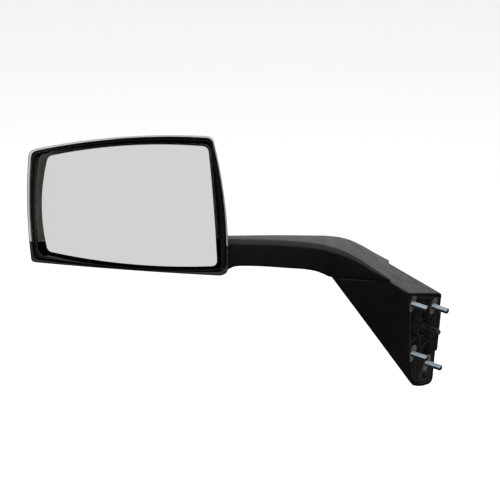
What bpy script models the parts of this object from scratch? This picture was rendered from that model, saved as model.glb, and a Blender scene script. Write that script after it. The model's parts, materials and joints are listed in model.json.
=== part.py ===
"""Driver-side hood mirror for a heavy truck.

A convex glass turns on a ball behind it, inside a head of three shells. A curved arm carries the head, and
folds on a spring-loaded vertical bolt in the base. The base stands on the side of the hood with four studs.

Frame: metres, +Z up, +X from the head towards the hood, +Y forwards. The origin is the middle of the face
that meets the hood.
"""

import math

import bmesh
import bpy
from mathutils import Matrix, Vector

MM = 0.001
GAP = 0.3                      # clearance between pieces that touch, mm (every size below is in mm)

# Mounting face on the hood
MOUNT_YAW = -33.0              # degrees, direction that the studs point, from +X
MOUNT_DROP = 5.5               # degrees below level
FACE_CORNERS = [(-47.5, 80), (45, 50), (45, -82), (-16.5, -64)]    # near top, far top, far and near bottom
FACE_BOWS = [0, -1.5, 4, 4.5]
FACE_RADII = [4, 5, 10, 9]
COVER_WALL = 3.9               # across the hood face, where the walls lean: about 2.2 through
CORE_CLEARANCE = 5.2           # from the cover's outside, across the hood face
OVERRUN = 12.0                 # the base is drawn this far past the hood face, then trimmed to it
COVER_RIM = -1.0               # the cover's rim stands this far behind the core's face
STUD_SPOTS = [(-34.5, 60), (23, 38), (-21, -17), (21, -45)]
STUD_RADIUS, STUD_PROUD, STUD_BURIED = 4.0, 23.0, 11.0
PAD_HALF_LENGTH, PAD_HALF_WIDTH, PAD_THICK, PAD_LEAN = 12.0, 6.5, 2.4, -29.0
PAD_OFFSETS = [0.5, 1.5, 1.0, 1.5]      # each pad lies this far right of its stud
PEG_SPOT, PEG_RADIUS, PEG_PROUD = (4.5, 13), 4.0, 25.0
PEG_BOSS, MIDDLE_BOSS = 7.2, 5.0
CORE_DEPTH, CORE_WALL, RIB_THICK = 28.0, 2.6, 2.0
CORE_RIM = -0.4                # the ribs stand proud of the core's rim
CORE_SCREW_SPOTS = [(-28, 12), (3, 36), (-6, -15)]
RIB_LINES = [                   # walls inside the core, each through two or more points
    [(-12, 86), (-19, 36)], [(-3, 86), (-9, 24), (-9, 17)], [(10, 86), (-3, 46)], [(24, 70), (15, 36), (16, 12)],
    [(40, 24), (35, 14), (23, 12), (16, 19)], [(-52, 22), (-17, 25), (-21, 13)], [(-17, 46), (-17, 25)],
    [(-9, 27), (2, 26)], [(-9, 17), (-9, 6), (-1, -7), (4, -20), (4, -34)], [(-50, -1), (-12, 3)],
    [(9, 6), (9, -10)], [(4, -20), (9, -14), (42, -12)], [(29, -6), (31, -34)], [(29, -17), (42, -27)],
    [(-7, -30), (-11, -80)], [(4, -34), (0, -85)], [(14, -40), (11, -85)], [(23, -64), (30, -69), (42, -62)],
]
LIP_FROM, LIP_TO, LIP_PROUD = (36.0, -31.0), (40.9, 26.0), 3.2      # locating lip over the cover's far rim
STAGGER = 0.03

# Fold between base and arm
SEAM_Z = 96.0
SEAM_CORNERS = [(-44, -45), (-44, 31), (-122, 27), (-122, -27)]  # near and far right, far and near left
SEAM_BOWS = [0, 4, 3, 2]
SEAM_RADII = [3, 5, 12, 12]
FOLD_X = -80.0
BOLT_RADIUS, THREAD_RADIUS = 6.0, 5.0
BUSH_RADIUS, DISC_RADIUS, INSERT_RADIUS = 8.5, 19.0, 8.0
HEAD_LOW, HEAD_HIGH = 56.5, 63.5        # z of the bolt's hexagon

# Arm: (x, front wall y, back wall y, underside z, top z, top edge radius), from its tip to the head
ARM_STATIONS = [
    (-44, -44.5, 31, 96, 98.5, 1), (-62, -39.5, 33.5, 96, 107.5, 4), (-80, -35.5, 34, 96, 117, 5),
    (-96, -32, 33, 96, 125, 6), (-110, -29.5, 30, 96, 131.5, 7), (-123, -26.5, 26, 96, 135.5, 7),
    (-132, -24, 23, 100, 137.5, 7), (-142, -22, 20.5, 103.2, 139, 7), (-158, -19, 18.5, 105.2, 140.3, 7),
    (-186, -15, 17, 105.8, 141.5, 7), (-215, -12, 16, 106.7, 141.7, 7), (-238, -10, 15.5, 106.5, 141.4, 7),
    (-250, -9.5, 15, 105.5, 141, 7), (-258, -9, 14.5, 101.5, 140.5, 7), (-262, -9, 14, 99, 140, 6),
]
TONGUE_STATIONS = [             # inside the head, in the head's frame: (x, y low, y high, z low, z high)
    (113, 38, 49, -77, -46), (104, 39, 50, -76, -46), (62, 39, 50, -74, -48),
]
ARM_WALL = 4.0
ARM_CLEARANCE = 1.0              # round the arm where it enters the head
ARM_HOLLOW = (-258, -132)       # the hollow runs between these x
ARM_SLOTS = [-160, -200, -240]  # middles of the drain slots in the underside
SLOT_LENGTH, SLOT_WIDTH = 28.0, 12.0

# Head, seen from the driver's side: x to the right, z up, y into the head
HEAD_CENTRE = (-389.4, -10.0, 190.4)
HEAD_TILT = -18.0               # degrees about X: the glass looks up to the driver
HEAD_CORNERS = [(-134.5, 68), (110, 92.5), (131, -92), (-131, -73)]
HEAD_BOWS = [11, 6.5, 0, 4]
HEAD_RADII = [9, 7, 14, 7]
HEAD_DEPTH, HEAD_ROUNDNESS, SHELL_WALL, RIM_BEVEL = 95.0, 2.4, 2.6, 3.5
POST_RADIUS = 4.5
PARTING_Z, PARTING_SLOPE, PARTING_GAP = -53.1, -0.0383, 0.55
OPENING_CORNERS = [(-121, 68), (110.5, 84.5), (120.5, -83.5), (-120, -61.5)]
OPENING_BOWS = [7, 3, 1, 4]
OPENING_RADII = [8, 9, 8, 8]
BEZEL_INSET = 4.0
BEZEL_SECTION = [               # share of the way from outer edge to opening, depth
    (0.00, 4.0), (0.05, 1.2), (0.22, 0.2), (0.55, 0.5), (0.97, 6.5), (0.97, 8.5), (0.60, 8.5), (0.45, 4.5),
]

# Glass and its ball joint
GLASS_CORNERS = [(-107, 66), (108, 81), (118, -80), (-108, -57)]
GLASS_BOWS = [7, 3, 1, 8]
GLASS_RADII = [6, 8, 8, 6]
GLASS_CURVE = 900.0             # convex radius
GLASS_FRONT, GLASS_THICK, PAD_GLUE, CARRIER_THICK, CARRIER_INSET = 3.0, 2.5, 0.8, 2.6, 4.0
PIVOT_DEPTH = 32.0
REST_PAN = -2.5                 # degrees: the glass's left edge sits deeper
BALL_RADIUS, NECK_RADIUS = 9.7, 5.0
RING_INNER, RING_OUTER, SOCKET_INNER, SOCKET_OUTER = 10.1, 13.0, 13.5, 17.0
SOCKET_SPLIT, SOCKET_END = 4.6, 9.0
RETAINER_SCREWS, RETAINER_CIRCLE = 3, 15.1

# Head bracket
BRACKET_FRONT, BRACKET_THICK = 50.3, 3.5
BRACKET_ARMS = [                # from the middle to these spots: (x, z, half width)
    (84, -60, 13), (-78, 40, 8), (78, 50, 8), (-72, -57, 6), (20, -63, 6),
]
COVER_SCREW_SPOTS = [(-78, 40), (78, 50)]
HOUSING_SCREW_SPOTS = [(-72, -57), (20, -63)]
BRACKET_SCREW_SPOTS = [(72, -55), (96, -55), (72, -67), (96, -67)]

SEGMENTS = 20                   # sides of a round piece


# ---------------------------------------------------------------- frames

def mount_matrix():
    yaw, drop = math.radians(MOUNT_YAW), math.radians(MOUNT_DROP)
    out = Vector((math.cos(drop) * math.cos(yaw), math.cos(drop) * math.sin(yaw), -math.sin(drop)))
    across = Vector((-math.sin(yaw), math.cos(yaw), 0))
    up = out.cross(across)
    return Matrix((across, up, out)).transposed().to_4x4()


def shift(x, y, z):
    return Matrix.Translation(Vector((x, y, z)) * MM)


WORLD = Matrix.Identity(4)
MOUNT = mount_matrix()
FOLD = shift(FOLD_X, 0, SEAM_Z)
HEAD = shift(*HEAD_CENTRE) @ Matrix.Rotation(math.radians(HEAD_TILT), 4, "X")
GLASS = HEAD @ shift(0, PIVOT_DEPTH, 0) @ Matrix.Rotation(math.radians(REST_PAN), 4, "Z")
INTO_HEAD = Matrix.Rotation(math.radians(-90), 4, "X")     # turns +Z into the head's +Y


# ---------------------------------------------------------------- making meshes

def start_scene():
    for old in list(bpy.data.objects):
        bpy.data.objects.remove(old)
    for name in ("hood_mirror", "cutters"):
        bpy.context.scene.collection.children.link(bpy.data.collections.new(name))


def add_object(name, mesh, frame):
    piece = bpy.data.objects.new(name, mesh)
    bpy.data.collections["hood_mirror"].objects.link(piece)
    piece.matrix_world = frame
    return piece


def add_mesh(name, shape, frame):
    """Turn a bmesh in mm into an object with outward faces, and free the bmesh."""
    bmesh.ops.scale(shape, vec=(MM, MM, MM), verts=shape.verts)
    bmesh.ops.recalc_face_normals(shape, faces=shape.faces)
    mesh = bpy.data.meshes.new(name)
    shape.to_mesh(mesh)
    shape.free()
    return add_object(name, mesh, frame)


def frozen(piece):
    """Apply the object's modifiers."""
    bpy.context.view_layer.update()
    graph = bpy.context.evaluated_depsgraph_get()
    mesh = bpy.data.meshes.new_from_object(piece.evaluated_get(graph))
    piece.modifiers.clear()
    piece.data = mesh
    return piece


def combine(piece, tool, operation, solver="EXACT"):
    """Boolean with a tool that is used up. MANIFOLD is kept for many walls that cross each other."""
    modifier = piece.modifiers.new(operation.lower(), "BOOLEAN")
    modifier.solver = solver
    modifier.operation = operation
    modifier.object = tool
    frozen(piece)
    bpy.data.objects.remove(tool)
    return piece


def cut(piece, *tools, solver="EXACT"):
    for tool in tools:
        combine(piece, tool, "DIFFERENCE", solver)
    return piece


def join(piece, *others, solver="EXACT"):
    for other in others:
        combine(piece, other, "UNION", solver)
    return piece


def numbered(name, pieces):
    """Name copies of one piece name_1, name_2 and so on."""
    for number, piece in enumerate(pieces, 1):
        piece.name = f"{name}_{number}"
    return pieces


def box(name, low, high, frame):
    shape = bmesh.new()
    size = [high[i] - low[i] for i in range(3)]
    middle = [(high[i] + low[i]) / 2 for i in range(3)]
    place = Matrix.Translation(middle) @ Matrix.Diagonal((*size, 1))
    bmesh.ops.create_cube(shape, size=1, matrix=place)
    return add_mesh(name, shape, frame)


def cylinder(name, radius, low, high, frame, segments=SEGMENTS, top_radius=None):
    """Cylinder or cone along the frame's Z."""
    shape = bmesh.new()
    bmesh.ops.create_cone(
        shape, cap_ends=True, segments=segments, radius1=radius,
        radius2=radius if top_radius is None else top_radius, depth=high - low,
        matrix=Matrix.Translation((0, 0, (low + high) / 2)),
    )
    return add_mesh(name, shape, frame)


def turned(name, profile, frame, segments=SEGMENTS, ring=False):
    """Solid of revolution about the frame's Z: (radius, z) down its outer side; a ring's profile is closed."""
    shape = bmesh.new()
    points = [shape.verts.new((radius * MM, 0, z * MM)) for radius, z in profile]
    for first, second in zip(points, points[1:]):
        shape.edges.new((first, second))
    if ring:
        shape.edges.new((points[-1], points[0]))
    mesh = bpy.data.meshes.new(name)
    shape.to_mesh(mesh)
    shape.free()
    piece = add_object(name, mesh, frame)
    screw = piece.modifiers.new("turn", "SCREW")
    screw.steps = screw.render_steps = segments
    screw.use_merge_vertices = True
    screw.merge_threshold = 0.00001
    frozen(piece)
    shape = bmesh.new()
    shape.from_mesh(piece.data)
    bmesh.ops.recalc_face_normals(shape, faces=shape.faces)
    shape.to_mesh(piece.data)
    shape.free()
    return piece


def screw_piece(name, radius, length, head_radius, head_height, frame, segments=10):
    """Pan-head screw: its head stands on z = 0 and its shank runs down."""
    profile = [
        (0, head_height), (head_radius * 0.7, head_height), (head_radius, head_height * 0.5), (head_radius, 0),
        (radius, 0), (radius, -length), (0, -length),
    ]
    return turned(name, profile, frame, segments)


def loft_faces(shape, rings, closed_loop=False):
    """Faces between rings of equal count; returns the rings of vertices."""
    rows = [[shape.verts.new(point) for point in ring] for ring in rings]
    pairs = list(zip(rows, rows[1:]))
    if closed_loop:
        pairs.append((rows[-1], rows[0]))
    for first, second in pairs:
        for i, _ in enumerate(first):
            j = (i + 1) % len(first)
            shape.faces.new((first[i], first[j], second[j], second[i]))
    return rows


def fan(shape, row, tip):
    """Close a row of vertices on one point."""
    end = shape.verts.new(tip)
    for i, _ in enumerate(row):
        shape.faces.new((row[i], row[(i + 1) % len(row)], end))


def lofted(name, rings, frame):
    """Closed solid through rings, with flat ends."""
    shape = bmesh.new()
    rows = loft_faces(shape, rings)
    shape.faces.new(rows[0])
    shape.faces.new(rows[-1])
    return add_mesh(name, shape, frame)


# ---------------------------------------------------------------- outlines

def moved_in(corners, distance):
    """Corners of a polygon whose sides are moved inwards by a distance."""
    count = len(corners)
    spots = [Vector(corner) for corner in corners]
    middle = sum(spots, Vector((0, 0))) / count
    normals = []
    for i in range(count):
        along = spots[(i + 1) % count] - spots[i]
        inwards = Vector((-along.y, along.x)).normalized()
        normals.append(inwards if inwards.dot(middle - spots[i]) > 0 else -inwards)
    return [spot + (normals[i - 1] + normals[i]) * distance / (1 + normals[i - 1].dot(normals[i]))
            for i, spot in enumerate(spots)]


def bowed_outline(corners, bows, radii, inset=0.0, side_steps=5, corner_steps=3):
    """Closed outline of four bowed sides with rounded corners, moved inwards, as (across, up) pairs."""
    count = len(corners)
    corners = moved_in(corners, inset)
    radii = [max(radius - 0.6 * inset, 1.0) for radius in radii]
    middle = sum((Vector(corner) for corner in corners), Vector((0, 0))) / count

    def on_side(i, share):
        start, end = Vector(corners[i]), Vector(corners[(i + 1) % count])
        along = end - start
        outwards = Vector((-along.y, along.x)).normalized()
        if outwards.dot(start - middle) < 0:
            outwards = -outwards
        return start + along * share + outwards * bows[i] * 4 * share * (1 - share)

    points = []
    for i in range(count):
        following = (i + 1) % count
        length = (Vector(corners[following]) - Vector(corners[i])).length
        first, last = radii[i] / length, 1 - radii[following] / length
        points += [on_side(i, first + (last - first) * k / side_steps) for k in range(side_steps + 1)]
        next_length = (Vector(corners[(i + 2) % count]) - Vector(corners[following])).length
        leave, arrive = on_side(i, last), on_side(following, radii[following] / next_length)
        turn = Vector(corners[following])
        for k in range(1, corner_steps):
            share = k / corner_steps
            points.append(
                leave * (1 - share) ** 2 + turn * 2 * share * (1 - share) + arrive * share ** 2)
    return points


def section(y_low, y_high, z_low, z_high, top_radius, bottom_radius, steps=4):
    """Rounded rectangle of 4 * (steps + 1) points, as (y, z) pairs."""
    points = []
    for corner, (y, z, y_sign, z_sign, radius) in enumerate((
            (y_high, z_high, 1, 1, top_radius), (y_low, z_high, -1, 1, top_radius),
            (y_low, z_low, -1, -1, bottom_radius), (y_high, z_low, 1, -1, bottom_radius))):
        radius = min(radius, (z_high - z_low) * 0.45)
        for k in range(steps + 1):
            angle = math.pi / 2 * (corner + k / steps)
            points.append((y - y_sign * radius + radius * math.cos(angle),
                           z - z_sign * radius + radius * math.sin(angle)))
    return points


# ---------------------------------------------------------------- base

def base_rings(distance, steps=4):
    """Rings of the base's body from past the hood face to the fold seam, moved inwards by a distance."""
    face = bowed_outline(FACE_CORNERS, FACE_BOWS, FACE_RADII, distance)
    seam = bowed_outline(SEAM_CORNERS, SEAM_BOWS, SEAM_RADII, distance)
    seam_z = SEAM_Z - 0.5 - distance
    start = [MOUNT @ Vector((point.x, point.y, 0)) for point in face]
    end = [Vector((point.x, point.y, seam_z)) for point in seam]
    past = MOUNT.to_3x3() @ Vector((0, 0, OVERRUN))
    rings = [[a.lerp(b, k / steps) for a, b in zip(start, end)] for k in range(steps + 1)]
    return [[point + past for point in start]] + rings


def upright(x, y):
    return shift(x, y, 0)


def on_mount(u, v, lean=0.0):
    return MOUNT @ shift(u, v, 0) @ Matrix.Rotation(math.radians(lean), 4, "Z")


def pad_frames():
    return [on_mount(u + offset, v, PAD_LEAN) for (u, v), offset in zip(STUD_SPOTS, PAD_OFFSETS)]


def stadium(name, half_length, half_width, low, high, frame, steps=6):
    """Flat piece with round ends, its long side along the frame's Y."""
    reach = half_length - half_width
    points = []
    for middle, first in ((reach, 0), (-reach, math.pi)):
        for k in range(steps + 1):
            angle = first + math.pi * k / steps
            points.append((half_width * math.cos(angle), middle + half_width * math.sin(angle)))
    rings = [[Vector((x, y, z)) for x, y in points] for z in (low, high)]
    return lofted(name, rings, frame)


def make_base_cover():
    cover = lofted("base_cover", base_rings(0), WORLD)
    cut(cover, lofted("inside", base_rings(COVER_WALL), WORLD), mount_slab("trim", COVER_RIM, 60))
    for u, v in CORE_SCREW_SPOTS:
        post = cylinder("post", 4.2, -75, -CORE_DEPTH - GAP, on_mount(u, v), 12)
        combine(post, lofted("inside", base_rings(COVER_WALL / 2), WORLD), "INTERSECT")
        join(cover, post)
        cut(cover, cylinder("pilot", 1.9, -40, -20, on_mount(u, v), 10))
    return cut(cover, cylinder("bush_hole", BUSH_RADIUS + GAP, 60, 120, upright(FOLD_X, 0)))


def rib(name, u1, v1, u2, v2, thick, step=0):
    """Upright wall; each step makes it a little taller, so that no two walls share a face."""
    length = math.hypot(u2 - u1, v2 - v1) + 1.2 * thick      # the ends overlap where walls meet
    lean = math.degrees(math.atan2(v2 - v1, u2 - u1))
    frame = on_mount((u1 + u2) / 2, (v1 + v2) / 2, lean)
    low, high = 1 - CORE_DEPTH - STAGGER * step, 5 + STAGGER * step
    return box(name, (-length / 2, -thick / 2, low), (length / 2, thick / 2, high), frame)


def mount_slab(name, low, high):
    """Thick plate parallel to the hood face, larger than the base."""
    return box(name, (-150, -150, low), (150, 150, high), MOUNT)


def make_rib_core():
    core = lofted("base_rib_core", base_rings(CORE_CLEARANCE), WORLD)
    combine(core, mount_slab("slab", -CORE_DEPTH, CORE_RIM), "INTERSECT")
    pocket = lofted("pocket", base_rings(CORE_CLEARANCE + CORE_WALL), WORLD)
    combine(pocket, mount_slab("slab", CORE_WALL - CORE_DEPTH, 20), "INTERSECT")
    cut(core, pocket)
    web = cylinder("middle_boss", MIDDLE_BOSS, 0.2 - CORE_DEPTH, 5.8, on_mount(0, 0), 16)
    walls = [(*a, *b) for line in RIB_LINES for a, b in zip(line, line[1:])]
    for step, ends in enumerate(walls, 1):
        join(web, rib("rib", *ends, RIB_THICK, step), solver="MANIFOLD")
    for step, place in enumerate(pad_frames()):
        extra = 0.5 + STAGGER * step
        boss = stadium("boss", PAD_HALF_LENGTH, PAD_HALF_WIDTH, 1 - CORE_DEPTH - extra, 5 + extra, place)
        join(web, boss, solver="MANIFOLD")
    join(web, cylinder("boss", PEG_BOSS, 0.3 - CORE_DEPTH, 5.7, on_mount(*PEG_SPOT), 16), solver="MANIFOLD")
    inside = lofted("inside", base_rings(CORE_CLEARANCE + CORE_WALL / 2), WORLD)
    combine(inside, mount_slab("slab", 0.8 - CORE_DEPTH, 0), "INTERSECT")
    join(core, combine(web, inside, "INTERSECT", "MANIFOLD"), solver="MANIFOLD")
    join(core, box("lip", (*LIP_FROM, CORE_RIM - 0.2), (*LIP_TO, LIP_PROUD), MOUNT), solver="MANIFOLD")
    for y in (-15.6, 12.6):
        plate = box("gusset", (-96, y, 48), (-8, y + 3, 92), WORLD)
        combine(plate, lofted("inside", base_rings(CORE_CLEARANCE + 0.7), WORLD), "INTERSECT")
        cut(plate, mount_slab("front", 1 - CORE_DEPTH, 60), solver="MANIFOLD")
        join(core, plate, solver="MANIFOLD")
    join(core, cylinder("pivot_boss", 17, 82.6, 91.2, upright(FOLD_X, 0), 24), solver="MANIFOLD")
    holes = [cylinder("bush_hole", BUSH_RADIUS + GAP, 70, 100, upright(FOLD_X, 0))]
    for (u, v), place in zip(STUD_SPOTS, pad_frames()):
        holes += [
            stadium("seat", PAD_HALF_LENGTH + 0.4, PAD_HALF_WIDTH + 0.4, -PAD_THICK - GAP, 6, place),
            cylinder("stud_hole", STUD_RADIUS + GAP, -STUD_BURIED - 1, 3, on_mount(u, v)),
        ]
    holes.append(cylinder("peg_hole", PEG_RADIUS + GAP, -16, 3, on_mount(*PEG_SPOT)))
    holes += [cylinder("screw_hole", 2.2, -40, -20, on_mount(u, v), 10) for u, v in CORE_SCREW_SPOTS]
    return cut(core, *holes, solver="MANIFOLD")


def make_stud_pads():
    pads = []
    for (u, v), place in zip(STUD_SPOTS, pad_frames()):
        pad = stadium("pad", PAD_HALF_LENGTH, PAD_HALF_WIDTH, -PAD_THICK, 0, place)
        combine(pad, lofted("inside", base_rings(COVER_WALL + 2 * GAP), WORLD), "INTERSECT")
        pads.append(cut(pad, cylinder("hole", STUD_RADIUS + GAP, -9, 9, on_mount(u, v))))
    return numbered("stud_pad", pads)


def make_hood_studs():
    profile = [
        (0, STUD_PROUD), (STUD_RADIUS - 1, STUD_PROUD), (STUD_RADIUS, STUD_PROUD - 1),
        (STUD_RADIUS, -STUD_BURIED), (0, -STUD_BURIED),
    ]
    return numbered("hood_stud", [turned("stud", profile, on_mount(u, v)) for u, v in STUD_SPOTS])


def make_locating_peg():
    place = on_mount(*PEG_SPOT)
    tip = PEG_PROUD - PEG_RADIUS
    shank = cylinder("locating_peg", PEG_RADIUS, -15, 2, place)
    for low, high in (((-PEG_RADIUS, -1.2, 1), (PEG_RADIUS, 1.2, tip)),
                      ((-1.2, -PEG_RADIUS, 1), (1.2, PEG_RADIUS, tip))):
        join(shank, box("fin", low, high, place))
    shape = bmesh.new()
    bmesh.ops.create_uvsphere(shape, u_segments=16, v_segments=9, radius=PEG_RADIUS,
                              matrix=Matrix.Translation((0, 0, tip)))
    return join(shank, add_mesh("tip", shape, place))


def make_core_screws():
    seat = shift(0, 0, CORE_WALL - CORE_DEPTH + GAP)
    screws = [screw_piece("screw", 1.8, 13, 3.6, 2.2, on_mount(u, v) @ seat) for u, v in CORE_SCREW_SPOTS]
    return numbered("core_screw", screws)


def make_wear_disc():
    low, high = SEAM_Z - 0.2, SEAM_Z + 1.2
    inner = BOLT_RADIUS + GAP
    profile = [(inner, high), (DISC_RADIUS, high), (DISC_RADIUS, low), (inner, low)]
    return turned("wear_disc", profile, upright(FOLD_X, 0), 24, ring=True)


def make_pivot_bushing():
    low, high = 83, SEAM_Z - 0.7
    inner = BOLT_RADIUS + 0.1
    profile = [(inner, high), (BUSH_RADIUS, high), (BUSH_RADIUS, low), (inner, low)]
    return turned("pivot_bushing", profile, upright(FOLD_X, 0), ring=True)


# ---------------------------------------------------------------- fold bolt and spring

def make_pivot_bolt():
    profile = [
        (0, 108), (THREAD_RADIUS - 1, 108), (THREAD_RADIUS, 107), (THREAD_RADIUS, 98),
        (BOLT_RADIUS, 98), (BOLT_RADIUS, HEAD_HIGH - 1), (0, HEAD_HIGH - 1),
    ]
    bolt = turned("pivot_bolt", profile, upright(FOLD_X, 0))
    return join(bolt, cylinder("hexagon", 9.2, HEAD_LOW, HEAD_HIGH, upright(FOLD_X, 0), 6))


def make_pivot_washer():
    low, high = HEAD_HIGH + GAP, HEAD_HIGH + GAP + 2
    profile = [(BOLT_RADIUS + GAP, high), (11.5, high), (11.5, low), (BOLT_RADIUS + GAP, low)]
    return turned("pivot_washer", profile, upright(FOLD_X, 0), ring=True)


def coil(name, radius, wire, low, high, turns, frame, per_turn=10):
    """Compression spring along the frame's Z, from low to high over its wire."""
    curve = bpy.data.curves.new(name, "CURVE")
    curve.dimensions = "3D"
    curve.bevel_depth = wire * MM
    curve.bevel_resolution = 2
    curve.use_fill_caps = True
    spline = curve.splines.new("POLY")
    count = turns * per_turn
    spline.points.add(count)
    bottom, top = low + wire, high - wire
    for i in range(count + 1):
        share = i / count
        angle = 2 * math.pi * turns * share
        z = bottom + (top - bottom) * share
        spline.points[i].co = (radius * MM * math.cos(angle), radius * MM * math.sin(angle), z * MM, 1)
    source = add_object(name + "_wire", curve, frame)
    bpy.context.view_layer.update()
    graph = bpy.context.evaluated_depsgraph_get()
    mesh = bpy.data.meshes.new_from_object(source.evaluated_get(graph))
    bpy.data.objects.remove(source)
    shape = bmesh.new()
    shape.from_mesh(mesh)
    bmesh.ops.remove_doubles(shape, verts=shape.verts, dist=0.00001)
    bmesh.ops.recalc_face_normals(shape, faces=shape.faces)
    shape.to_mesh(mesh)
    shape.free()
    return add_object(name, mesh, frame)


def make_pivot_spring():
    return coil("pivot_spring", 9.3, 1.2, HEAD_HIGH + 2 + 2 * GAP, 82.3, 4, upright(FOLD_X, 0))


def make_pivot_insert():
    low, high = 98.2, 108.6
    inner = THREAD_RADIUS + GAP
    profile = [(inner, high), (INSERT_RADIUS, high), (INSERT_RADIUS, low), (inner, low)]
    return turned("pivot_insert", profile, upright(FOLD_X, 0), ring=True)


# ---------------------------------------------------------------- arm

def arm_rings(grow, with_tongue=True):
    """Rings of the arm's outside, grown outwards by a distance."""
    rings = []
    for x, front, back, low, high, radius in ARM_STATIONS:
        foot = 0.6 if x > -130 else min(4, (-x - 122) * 0.2)
        ring = section(front - grow, back + grow, low - grow, high + grow, radius, foot)
        rings.append([Vector((x, y, z)) for y, z in ring])
    if with_tongue:
        to_world = Matrix.Translation(HEAD_CENTRE) @ HEAD.to_3x3().to_4x4()
        for x, near, far, low, high in TONGUE_STATIONS:
            ring = section(near - grow, far + grow, low - grow, high + grow, 3, 3)
            rings.append([to_world @ Vector((x, y, z)) for y, z in ring])
    return rings


def make_arm_housing():
    arm = lofted("arm_housing", arm_rings(0), WORLD)
    low_x, high_x = ARM_HOLLOW
    hollow = []
    for x, front, back, low, high, _ in ARM_STATIONS:
        if low_x <= x <= high_x:
            ring = section(front + ARM_WALL, back - ARM_WALL, low + ARM_WALL, high - ARM_WALL, 4, 3)
            hollow.append([Vector((x, y, z)) for y, z in ring])
    cut(arm, lofted("hollow", hollow, WORLD))
    for x in ARM_SLOTS:
        low, high = (x - SLOT_LENGTH / 2, -4, 90), (x + SLOT_LENGTH / 2, SLOT_WIDTH - 4, 115)
        cut(arm, box("slot", low, high, WORLD))
    axis = upright(FOLD_X, 0)
    cut(arm, cylinder("disc_recess", DISC_RADIUS + 0.5, 90, SEAM_Z + 1.6, axis, 24),
        cylinder("insert_hole", INSERT_RADIUS + GAP, 92, 109, axis))
    into_back = HEAD @ INTO_HEAD
    for x, z in BRACKET_SCREW_SPOTS:
        cut(arm, cylinder("screw_hole", 2.6, 38, 60, into_back @ shift(x, -z, 0), 10))
    return arm


# ---------------------------------------------------------------- head shells

def head_outline(inset=0.0):
    return bowed_outline(HEAD_CORNERS, HEAD_BOWS, HEAD_RADII, inset)


def dome_point(angle):
    """Scale and depth of the domed back at an angle from its rim to its tip."""
    scale = math.cos(angle) ** (2 / HEAD_ROUNDNESS)
    depth = RIM_BEVEL + (HEAD_DEPTH - RIM_BEVEL) * math.sin(angle) ** (2 / HEAD_ROUNDNESS)
    return scale, depth


def shell_surface(shape, steps=8):
    """Outer surface of the head, open at the front."""
    outline = head_outline()
    rings = [[Vector((p.x, 0, p.y)) for p in head_outline(1.2)]]
    for k in range(steps):
        scale, depth = dome_point(math.pi / 2 * k / steps)
        rings.append([Vector((p.x * scale, depth, p.y * scale)) for p in outline])
    rows = loft_faces(shape, rings)
    fan(shape, rows[-1], (0, HEAD_DEPTH, 0))


def dome_depth(x, z):
    """Depth of the outer surface behind a spot of the head."""
    ratio = 0
    outline = head_outline()
    for i, here in enumerate(outline):
        ahead = outline[(i + 1) % len(outline)]
        side = ahead - here
        outwards = Vector((-side.y, side.x))
        ratio = max(ratio, (outwards.x * x + outwards.y * z) / outwards.dot(here))
    share = (1 - ratio ** HEAD_ROUNDNESS) ** (1 / HEAD_ROUNDNESS)
    return RIM_BEVEL + (HEAD_DEPTH - RIM_BEVEL) * share


def make_shell(name, keep_above, spots):
    shape = bmesh.new()
    shell_surface(shape)
    side = 1 if keep_above else -1
    plane = Vector((-PARTING_SLOPE, 0, 1))
    bmesh.ops.recalc_face_normals(shape, faces=shape.faces)
    bmesh.ops.bisect_plane(
        shape, geom=shape.verts[:] + shape.edges[:] + shape.faces[:],
        plane_co=(0, 0, PARTING_Z + side * PARTING_GAP), plane_no=plane,
        clear_inner=keep_above, clear_outer=not keep_above,
    )
    shell = add_mesh(name, shape, HEAD)
    wall = shell.modifiers.new("wall", "SOLIDIFY")
    wall.thickness = SHELL_WALL * MM
    wall.offset = -1
    wall.use_even_offset = True
    frozen(shell)
    behind = BRACKET_FRONT + BRACKET_THICK + GAP
    for x, z in spots:
        place = HEAD @ INTO_HEAD @ shift(x, -z, 0)
        outwards = 1 + 1.4 * POST_RADIUS / math.hypot(x, z)
        end = dome_depth(x * outwards, z * outwards) - SHELL_WALL / 2
        join(shell, cylinder("post", POST_RADIUS, behind, end, place, 12))
        cut(shell, cylinder("pilot", 1.9, behind - 1, behind + 12, place, 10))
    return cut(shell, lofted("arm_hole", arm_rings(ARM_CLEARANCE), WORLD))


def make_bezel():
    outer = head_outline(BEZEL_INSET)
    opening = bowed_outline(OPENING_CORNERS, OPENING_BOWS, OPENING_RADII)
    rings = []
    for share, depth in BEZEL_SECTION:
        ring = [a.lerp(b, share) for a, b in zip(outer, opening)]
        rings.append([Vector((p.x, depth, p.y)) for p in ring])
    shape = bmesh.new()
    loft_faces(shape, rings, closed_loop=True)
    return add_mesh("front_bezel", shape, HEAD)


def make_bezel_clips():
    """Spring clips behind the bezel's edge, between it and the shells."""
    outer = head_outline(BEZEL_INSET + 1.6)
    clips = []
    per_side = len(outer) // 4
    for side in range(4):
        point, ahead = outer[side * per_side + 2], outer[side * per_side + 3]
        lean = math.atan2(ahead.y - point.y, ahead.x - point.x)
        place = HEAD @ shift(point.x, 0, point.y) @ Matrix.Rotation(-lean, 4, "Y")
        clip = box("clip", (-5, 9.0, -1.1), (5, 19.0, -0.3), place)
        lip = box("lip", (-5, 9.0, -2.6), (5, 9.8, -0.5), place)
        clips.append(join(clip, lip))
    return numbered("bezel_clip", clips)


# ---------------------------------------------------------------- bracket inside the head

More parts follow.
